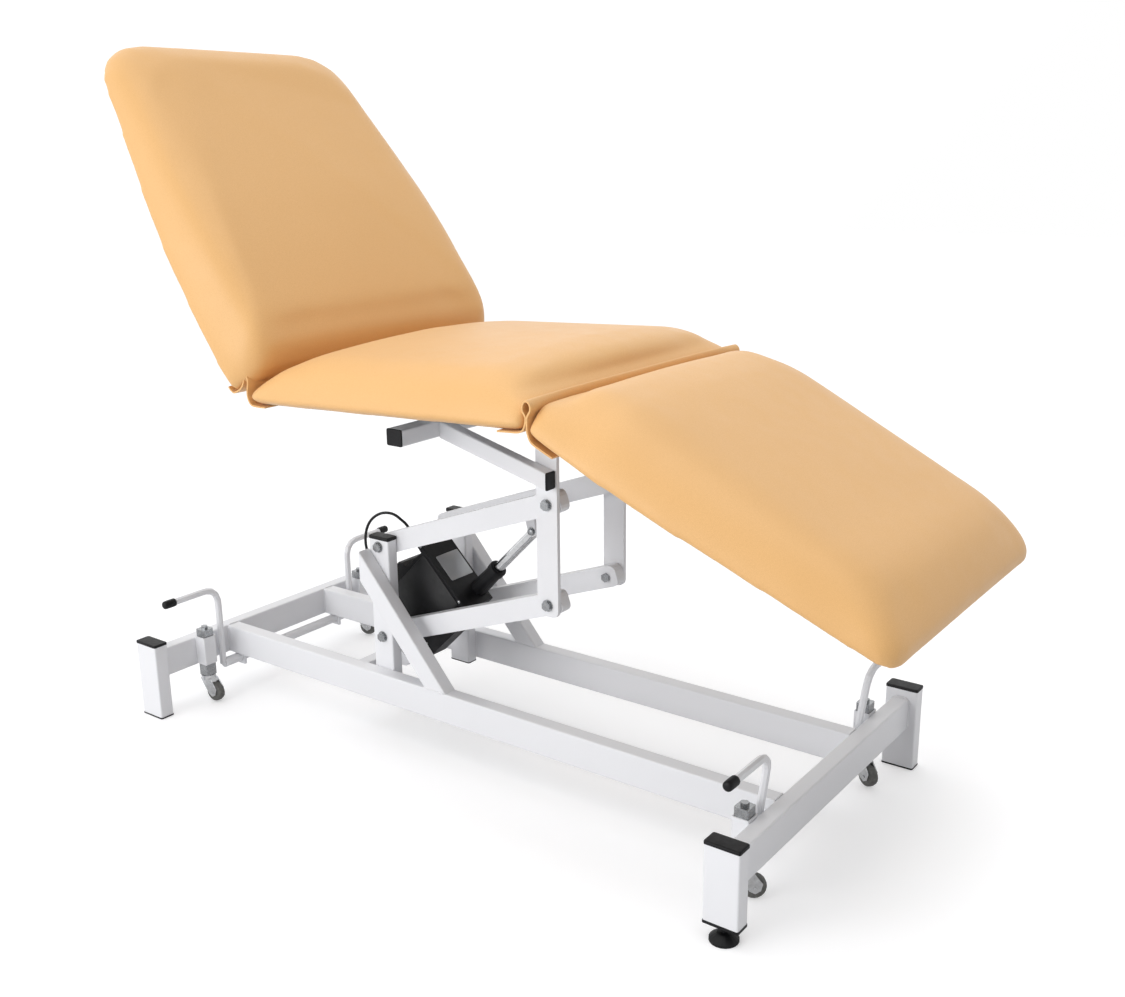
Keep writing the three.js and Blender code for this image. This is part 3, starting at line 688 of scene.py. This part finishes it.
def set_widths(local, widths, length, half_widths):
    """Bows the long sides, which are straight in the CAD pad, to the given half widths."""
    x = local[:, 0]
    at_hinge, at_end = half_widths
    straight = at_hinge + (at_end - at_hinge) * np.clip(x / length, 0, 1)
    local[:, 1] *= smooth_interp(x, *widths) / straight


def back_shape(local):
    set_widths(local, BACK_WIDTHS, BACK_LENGTH, BACK_HALF_WIDTHS)
    lower_edges(local, *BACK_DOME)
    local[:, 2] *= smooth_interp(local[:, 0], *BACK_BULGE)
    fit_end(local, BACK_END_AT_SEAT, 110)
    round_underside(local, 10)
    return local


def leg_shape(local):
    x = local[:, 0]
    set_widths(local, LEG_WIDTHS, LEG_LENGTH, LEG_HALF_WIDTHS)
    lower_edges(local, *LEG_DOME)
    local[:, 2] *= smooth_interp(x, *LEG_RISE, 6)
    local[:, 2] *= 1 - 0.24 * ease(np.abs(local[:, 1]), 220, 330) * (1 - ease(x, 15, 140))
    fit_end(local, LEG_END_AT_SEAT, 80)
    local[:, 0] -= 2.5 * ease(local[:, 0], 480, LEG_LENGTH)
    round_underside(local, 10)
    return local


def back_joint():
    """Where the cover begins and ends to bend at the backrest's hinge: square to the pads' bisector."""
    bisector = (SEAT.along + BACK.along).normalized()
    across_joint = Vector((-bisector.z, 0, bisector.x))
    if across_joint.dot(BACK.along) < 0:
        across_joint.negate()
    return BACK_PIVOT - across_joint * 0.05, BACK_PIVOT + across_joint * 0.05


BACK_JOINT = back_joint()


def make_pads():
    """The three cushions. Their ends are shaped where they press together at the joints."""
    seat = cushion("seat_cushion", "seat_pad", "seat_board", SEAT, seat_shape, 8, 3)
    back = cushion("back_cushion", "back_pad", "back_board", BACK, back_shape, 9, 4)
    legs = cushion("leg_cushion", "leg_pad", "leg_board", LEG, leg_shape, 9, 4)
    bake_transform(seat)
    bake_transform(back)
    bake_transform(legs)


# ---------------------------------------------------------------- folds of the cover at the joints
FOLD_THICKNESS = 2.8
FOLD_HALF_WIDTH = 320
FOLD_STEPS = 56


def fold_strip(profile_at):
    """A strip of the cover. profile_at gives its line in the XZ plane at a share of the half width."""
    rings = []
    for i in range(FOLD_STEPS + 1):
        share = -1 + 2 * i / FOLD_STEPS
        share = math.copysign(1 - (1 - abs(share)) ** 1.35, share)
        line = smooth_line([Vector((x, 0, z)) for x, z in profile_at(share)], 5)
        shift = Vector((0, share * FOLD_HALF_WIDTH, 0))
        outer, inner = [], []
        for k, point in enumerate(line):
            a, b = line[max(0, k - 1)], line[min(len(line) - 1, k + 1)]
            d = (b - a).normalized()
            n = Vector((-d.z, 0, d.x)) * FOLD_THICKNESS / 2
            outer.append(point + n + shift)
            inner.append(point - n + shift)
        rings.append([p * MM for p in outer + inner[::-1]])
    return loft(rings)


BACK_FOLD_LINE = (
    (-34, 37), (-28, 31), (-20, 27.5), (-11, 31), (-1, 37), (6, 46), (10, 57), (14.5, 61),
    (18.5, 56), (18.0, 45), (15.5, 32), (17, 20), (25, 10), (44, 8.5), (60, 9),
)


def make_folds():
    """The cover's loose folds, which close the gaps between the pads."""
    pivot = LEG_PIVOT / MM
    back_pivot = BACK_PIVOT / MM

    def leg_profile(share):
        edge = abs(share) ** 5
        top = 59.5 - 2 * edge
        loop = 2.1 + 5.2 * edge
        waist = 30 + 2 * edge
        middle = -5.5 + 2.2 * edge
        points = [
            (-60, 5.2), (-42, 6.6), (-24, 7.6), (-14, 10), (-7.6, 17), (middle - 1.4, waist),
            (middle - loop, top - 15), (middle - loop * 0.85, top - 5), (middle, top),
            (middle + loop * 0.9, top - 5), (middle + loop, top - 14), (middle + 1.6, waist + 1),
            (-2.4, 15), (-0.5, 6), (3.5, -2.4), (10, -7.6), (25, -14.6), (44, -23),
        ]
        return [(pivot.x + x, pivot.z + z) for x, z in points]

    leg_fold = new_object("leg_fold", *fold_strip(leg_profile), "upholstery", sharp=60)
    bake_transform(leg_fold)

    def back_profile(share):
        return [(back_pivot.x + x, back_pivot.z + z) for x, z in BACK_FOLD_LINE]

    back_fold = new_object("back_fold", *fold_strip(back_profile), "upholstery", sharp=60)
    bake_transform(back_fold)


# ---------------------------------------------------------------- stage
def make_floor():
    """A pale floor. Its own glow is seen by the camera but does not light the couch from below."""
    size = 14
    mesh = bpy.data.meshes.new("floor")
    corners = [(-size, -size, 0), (size, -size, 0), (size, size, 0), (-size, size, 0)]
    mesh.from_pydata(corners, [], [(0, 1, 2, 3)])
    material = bpy.data.materials.new("floor")
    material.use_nodes = True
    tree = material.node_tree
    bsdf = tree.nodes["Principled BSDF"]
    bsdf.inputs["Base Color"].default_value = (0.74, 0.74, 0.75, 1)
    bsdf.inputs["Roughness"].default_value = 0.9
    bsdf.inputs["Emission Color"].default_value = (1, 1, 1, 1)
    glow = tree.nodes.new("ShaderNodeMath")
    glow.operation = "MULTIPLY"
    glow.inputs[1].default_value = 0.36
    floor_seen = tree.nodes.new("ShaderNodeLightPath").outputs["Is Camera Ray"]
    tree.links.new(floor_seen, glow.inputs[0])
    tree.links.new(glow.outputs["Value"], bsdf.inputs["Emission Strength"])
    mesh.materials.append(material)
    floor = bpy.data.objects.new("floor", mesh)
    floor.location.z = -0.0005
    bpy.context.scene.collection.objects.link(floor)


def make_world():
    """A pale room that is brightest behind the couch and dimmer past its foot end. It looks white."""
    world = bpy.data.worlds.new("world")
    bpy.context.scene.world = world
    world.use_nodes = True
    tree = world.node_tree
    direction = tree.nodes.new("ShaderNodeTexCoord").outputs["Generated"]
    dot = tree.nodes.new("ShaderNodeVectorMath")
    dot.operation = "DOT_PRODUCT"
    dot.inputs[1].default_value = (-0.72, 0.38, 0.58)
    tree.links.new(direction, dot.inputs[0])
    ramp = tree.nodes.new("ShaderNodeMapRange")
    set_range(ramp, -1, 1, 0.2, 1.2)
    tree.links.new(dot.outputs["Value"], ramp.inputs["Value"])
    background = tree.nodes["Background"]
    background.inputs["Color"].default_value = (1, 1, 1, 1)
    camera_ray = tree.nodes.new("ShaderNodeLightPath").outputs["Is Camera Ray"]
    strength = tree.nodes.new("ShaderNodeMath")
    strength.operation = "MAXIMUM"
    tree.links.new(ramp.outputs["Result"], strength.inputs[0])
    tree.links.new(camera_ray, strength.inputs[1])
    tree.links.new(strength.outputs["Value"], background.inputs["Strength"])


def area_light(name, location, target, power):
    data = bpy.data.lights.new(name, "AREA")
    data.shape = "RECTANGLE"
    data.size, data.size_y = 2.6, 2.0
    data.energy = power
    light = bpy.data.objects.new(name, data)
    light.location = location
    aim = Vector(target) - Vector(location)
    light.rotation_euler = aim.to_track_quat("-Z", "Y").to_euler()
    bpy.context.scene.collection.objects.link(light)


def make_stage():
    make_floor()
    make_world()
    area_light("key", (-1.1, -3.7, 1.6), (0.1, 0, 0.6), 66)
    area_light("top", (0.6, -0.4, 3.6), (0.1, 0, 0.7), 24)
    settings = bpy.context.scene.view_settings
    settings.view_transform = "Standard"
    settings.look = "None"


# ---------------------------------------------------------------- trims
def make_caps():
    for end in ("head", "foot"):
        for side in SIDES:
            leg = f"leg_{end}_{side}"
            on_levelling_foot = (end, side) == ("foot", "l")
            thick = 2.0 if on_levelling_foot else 0.0
            end_cap(f"{leg}_top_cap", leg, (0, 0, 1), "base", thick=3.2)
            end_cap(f"{leg}_bottom_cap", leg, (0, 0, -1), "base", thick=thick, over=3.0, dome=0.3)
    for side in SIDES:
        post = f"lift_post_{side}"
        end_cap(f"post_{side}_top_cap", post, (0, 0, 1), "base", thick=4.5, dome=1.4)
        end_cap(f"post_{side}_bottom_cap", post, (0, 0, -1), "base", thick=1.2, dome=0.4, over=1.0)
    flat = {"thick": 1.5, "proud": 0.2, "over": 1.0}
    for side, sign in SIDES.items():
        end_cap(f"cross_tube_cap_{side}", "seat_cross_tube", (0, sign, 0), "platform", **flat)
    for side in SIDES:
        strut = f"seat_strut_{side}"
        end_cap(f"{strut}_cap", strut, (1, 0, 0), "platform", **flat)


def lathe(name, stations, origin, axis, slot, body, sides=24, sharp=45):
    """Turned piece: stations are (distance along the axis, radius) in millimetres."""
    axis = Vector(axis).normalized()
    side = axis.orthogonal().normalized()
    other = axis.cross(side)
    rings = []
    for distance, radius in stations:
        turns = [2 * math.pi * i / sides for i in range(sides)]
        rings.append([
            Vector(origin) + (axis * distance + (side * math.cos(t) + other * math.sin(t)) * radius) * MM
            for t in turns
        ])
    made = new_object(name, *loft(rings), slot, sharp=sharp)
    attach(made, body)
    return made


def plate(name, place, outline, low, high, slot, body, edge=0.3):
    """Thin plate with softened edges. outline is in a section's two directions, low to high its third."""
    centre = np.mean(outline, axis=0)

    def ring(shrink, level):
        result = []
        for x, y in outline:
            dx, dy = x - centre[0], y - centre[1]
            length = math.hypot(dx, dy)
            result.append(place(x - dx / length * shrink, y - dy / length * shrink, level))
        return result

    rings = [ring(edge, low), ring(0, low + edge), ring(0, high - edge), ring(edge, high)]
    made = new_object(name, *loft(rings), slot, sharp=50)
    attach(made, body)


def rounded_rectangle(x0, x1, y0, y1, radius, steps=5):
    left, right, low, high = x0 + radius, x1 - radius, y0 + radius, y1 - radius
    points = []
    for quarter, (cx, cy) in enumerate(((right, high), (left, high), (left, low), (right, low))):
        for i in range(steps + 1):
            turn = (quarter + i / steps) * math.pi / 2
            points.append((cx + radius * math.cos(turn), cy + radius * math.sin(turn)))
    return points


LEVER_ENDS = (("head", -634, 240), ("foot", 656, 238.6))
LEVER_REACH = 294.5
LEVER_TIP = (
    (0, 7.3), (0.3, 8.3), (1.5, 8.6), (22, 8.6), (24.6, 8.1), (26.4, 6.6), (27.4, 4.0), (27.7, 1.2),
)


def make_lever_tips():
    """Black sleeves on the four lever ends."""
    for end, x, z in LEVER_ENDS:
        for side, sign in SIDES.items():
            start = at_base(x, sign * LEVER_REACH, z)
            tip = lathe(f"lever_tip_{end}_{side}", LEVER_TIP, start, (0, sign, 0),
                        "black_plastic", f"castor_lever_{end}")
            add_subdivision(tip)


# The actuator's small parts. Places are along the rod and square to it, except the grommet's, which
# is from the middle of the base. Turned pieces are rows of distance and radius. All in millimetres.
HOUSING_FRONT = 268
HOUSING_NEAR_SIDE = -64
COLLAR_END = 340
SCREW_HEAD = ((-0.5, 3.6), (1.0, 3.6), (1.7, 2.9), (2.0, 1.6), (1.2, 1.4), (1.2, 0.3))
SCREW_PLACES = ((264.5, -9), (264.5, 124), (128, -22), (160, 128))
WIPER = ((-13, 15.2), (-12.6, 17.4), (-2, 17.8), (0.6, 17.2), (1.6, 15.5), (1.8, 11.4), (-1, 10.9))
CABLE_SLEEVE = ((-3.5, 6.2), (0.6, 6.2), (1.4, 5.4), (5, 4.9), (11, 4.1), (15, 3.5), (15.4, 2.9))
GROMMET_PLACE = (-220.8, -99.6, 298)
CABLE_GROMMET = ((-2.6, 6.4), (-0.6, 6.4), (1.2, 5.6), (2.4, 4.2), (2.6, 2.9))
EYE_HALF_WIDTH = 0.0165   # in metres
EYE_BOLT = ((-1, 8.2), (1.4, 8.2), (1.5, 6.4), (5.2, 6.2), (6.2, 5.0), (6.3, 0.5))


def make_actuator_details():
    """Label plate, side cover, screws, wiper ring, the cable's two ends and the rod eye's bolts."""
    pivot = Vector(JOINTS["actuator_tilt"]["pos_m"])
    eye = Vector(JOINTS["actuator_rod_pivot"]["pos_m"])
    degrees = math.degrees(math.atan2(eye.z - pivot.z, eye.x - pivot.x))
    drive = Section((pivot.x, SHIFT.y, pivot.z), degrees, direction=1, rise=0)
    body = "actuator_housing"

    def on_front(h, y, out):
        return drive.place(HOUSING_FRONT + out, y, h)

    def on_near(x, h, out):
        return drive.place(x, HOUSING_NEAR_SIDE - out, h)

    label = rounded_rectangle(34, 91.5, -50, 12.5, 2.5)
    cover = rounded_rectangle(120, 260, -16, 108, 9)
    plate("rating_plate", on_front, label, -0.2, 0.8, "label_silver", body, 0.25)
    plate("housing_cover", on_near, cover, -0.4, 1.6, "black_plastic", body, 0.7)
    for number, (x, h) in enumerate(SCREW_PLACES, 1):
        lathe(f"housing_screw_{number}", SCREW_HEAD, on_near(x, h, 0.1), (0, -1, 0),
              "zinc_steel", body, 16)
    lathe("rod_wiper", WIPER, drive.place(COLLAR_END, 0, 0), drive.along, "black_plastic", body, 32)
    lathe("cable_sleeve", CABLE_SLEEVE, at_base(*CABLE_ROUTE[0]), drive.normal, "cable_black", body)
    lathe("cable_grommet", CABLE_GROMMET, at_base(*GROMMET_PLACE), (0, 1, 0), "cable_black", "base")
    for side, sign in SIDES.items():
        place = Vector((eye.x, SHIFT.y + sign * EYE_HALF_WIDTH, eye.z))
        lathe(f"eye_bolt_{side}", EYE_BOLT, place, (0, sign, 0), "zinc_steel", "upper_arms", 18)


STAPLE_SPACING = 48
STAPLE_INSET = 7
BOX_FACES = ((0, 1, 2, 3), (7, 6, 5, 4), (0, 4, 5, 1), (1, 5, 6, 2), (2, 6, 7, 3), (3, 7, 4, 0))


def staple(section, place, along):
    """Corners of one staple's crown on a section's underside."""
    across = Vector((-along.y, along.x))
    corners = []
    for level in (-0.55, 0.3):
        for u, v in ((-5, -0.5), (5, -0.5), (5, 0.5), (-5, 0.5)):
            point = place + along * u + across * v
            corners.append(section.place(point.x, point.y, level))
    return corners


def make_staples(name, section, outline, middle_x, body):
    """Staples along an outline, a little inside it."""
    vertices, faces = [], []
    for (ax, ay), (bx, by) in zip(outline, outline[1:] + outline[:1]):
        length = math.hypot(bx - ax, by - ay)
        count = int(length // STAPLE_SPACING)
        for i in range(count):
            t = (i + 0.5) / count
            x, y = ax + (bx - ax) * t, ay + (by - ay) * t
            inward = Vector((middle_x - x, -y)).normalized() * STAPLE_INSET
            along = Vector((bx - ax, by - ay)) / length
            base = len(vertices)
            vertices += staple(section, Vector((x, y)) + inward, along)
            faces += [tuple(base + k for k in face) for face in BOX_FACES]
    staples = new_object(name, vertices, faces, "zinc_steel", smooth=False)
    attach(staples, body)


def make_linings():
    """Dust cover stapled under each section's board: its ends, half widths, corner radius and body."""
    plans = (
        ("seat", SEAT, 34, SEAT_LENGTH - 30, 300, 300, 14, "platform"),
        ("back", BACK, 66, 706, 298, 268, 70, "backrest"),
        ("leg", LEG, 66, 594, 292, 268, 26, "legrest"),
    )
    for name, section, x0, x1, near, far, radius, body in plans:
        outline = []
        for x, y in rounded_rectangle(x0, x1, -near, near, radius, 8):
            share = (x - x0) / (x1 - x0)
            outline.append((x, y * (1 + (far / near - 1) * share)))
        plate(f"{name}_lining", section.place, outline, -0.15, 1.9, "lining", body, 0.4)
        make_staples(f"{name}_staples", section, outline, (x0 + x1) / 2, body)


def weld(name, a, b, body, radius=2.6):
    """Painted weld bead between two points."""
    a, b = at_base(*a), at_base(*b)
    length = (b - a).length / MM
    count = max(12, int(length / 1.1))
    points = [a.lerp(b, i / count) for i in range(count + 1)]
    radii = []
    for i in range(count + 1):
        along = length * i / count
        end = min(1, 0.35 + min(i, count - i) * 0.3)
        radii.append(radius * end * (0.86 + 0.14 * math.cos(along * 2 * math.pi / 4.2)) * MM)
    bead = new_object(name, *tube(points, radii, 10), "white_paint", sharp=80)
    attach(bead, body)


RAIL_SIDES = (124.6, 154.6)   # of a long rail, from the middle of the base
RAIL_TOP = 140.8
RAIL_END = 651.4              # of a long rail, which is also a cross rail's inner face
CROSS_RAIL_OUTER = 681.9
LEG_INNER = 320.6
WELD_BOTTOM = 84


def upright_weld(name, x, y, top):
    weld(name, (x, y, WELD_BOTTOM), (x, y, top), "base")


def make_welds():
    for end_name, end in (("head", -1), ("foot", 1)):
        x_in, x_out = end * RAIL_END, end * CROSS_RAIL_OUTER
        for side_name, side in SIDES.items():
            place = f"{end_name}_{side_name}"
            leg_y = side * LEG_INNER
            leg_top = [(end * x, leg_y, RAIL_TOP) for x in (654, 679)]
            rail_top = [(x_in, side * y, 140.4) for y in (127, 152)]
            upright_weld(f"weld_leg_{place}_inner", x_in, leg_y, 138)
            weld(f"weld_leg_{place}_top", *leg_top, "base")
            upright_weld(f"weld_leg_{place}_outer", x_out, leg_y, 138)
            for edge, y in zip("ab", RAIL_SIDES):
                upright_weld(f"weld_rail_{place}_{edge}", x_in, side * y, 137)
            weld(f"weld_rail_{place}_top", *rail_top, "base")
    for side_name, side in SIDES.items():
        foot_y, post_y, rail_y = side * 154.4, side * 124.4, side * 107.4
        cross_tube = [(-41, side * y, 657) for y in (108, 132)]
        weld(f"weld_brace_foot_{side_name}", (-88, foot_y, 141), (-36, foot_y, 141), "base", 2.2)
        for edge, x in (("a", -241), ("b", -191)):
            upright_weld(f"weld_post_{side_name}_{edge}", x, post_y, 136)
        weld(f"weld_upright_{side_name}", (157, rail_y, 660), (196, rail_y, 662), "platform", 2.2)
        weld(f"weld_cross_tube_{side_name}", *cross_tube, "platform", 2.2)


CABLE_ROUTE = [
    (-170.3, -45, 364.8), (-174.3, -45, 368.9), (-178.8, -46.6, 375.5), (-183.8, -50, 386.5),
    (-188.2, -54, 399), (-194, -58.5, 411), (-200.6, -62, 421.8), (-208.5, -66, 430),
    (-221, -70.5, 439), (-236, -75.5, 442), (-252, -80, 438.5), (-267, -84, 428.5),
    (-279, -86.5, 413), (-286, -87.5, 393.5), (-287.5, -87.5, 372), (-283, -86.5, 351),
    (-273.5, -85, 332), (-260.5, -83.5, 316), (-245.5, -82.5, 305), (-236.5, -84, 299.8),
    (-226, -89, 298.2), (-221.4, -94, 298), (-220.8, -98.4, 298),
]
CABLE_DIAMETER = 0.0055


def make_cable():
    line = smooth_line([at_base(*p) for p in CABLE_ROUTE], 6)
    vertices, faces = tube(line, [CABLE_DIAMETER / 2] * len(line), 16)
    cable = new_object("motor_lead", vertices, faces, "cable_black", sharp=50)
    length = sum((b - a).length for a, b in zip(line, line[1:]))
    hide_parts("motor_cable")
    tuple(line[0])
    [tuple(p) for p in line]
    start = Vector(line[-1])
    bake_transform(cable)


BEVELLED = ("white_paint", "zinc_steel", "black_plastic", "chrome")


def dress_cad():
    """Materials, smooth shading and small edge bevels on the CAD pieces."""
    slots = {part["node"]: part["material_slot"] for part in frame["record"]["subparts"]}
    for name, obj in NODES.items():
        mesh = obj.data
        mesh.materials.clear()
        mesh.materials.append(MATERIALS[slots[name]])
        mesh.polygons.foreach_set("use_smooth", [True] * len(mesh.polygons))
        mesh.set_sharp_from_angle(angle=math.radians(32))
        if slots[name] in BEVELLED:
            add_bevel(obj, 0.0005)


make_camera()
dress_cad()
make_cable()
make_pads()
make_folds()
make_caps()
make_lever_tips()
make_actuator_details()
make_linings()
make_welds()
make_stage()
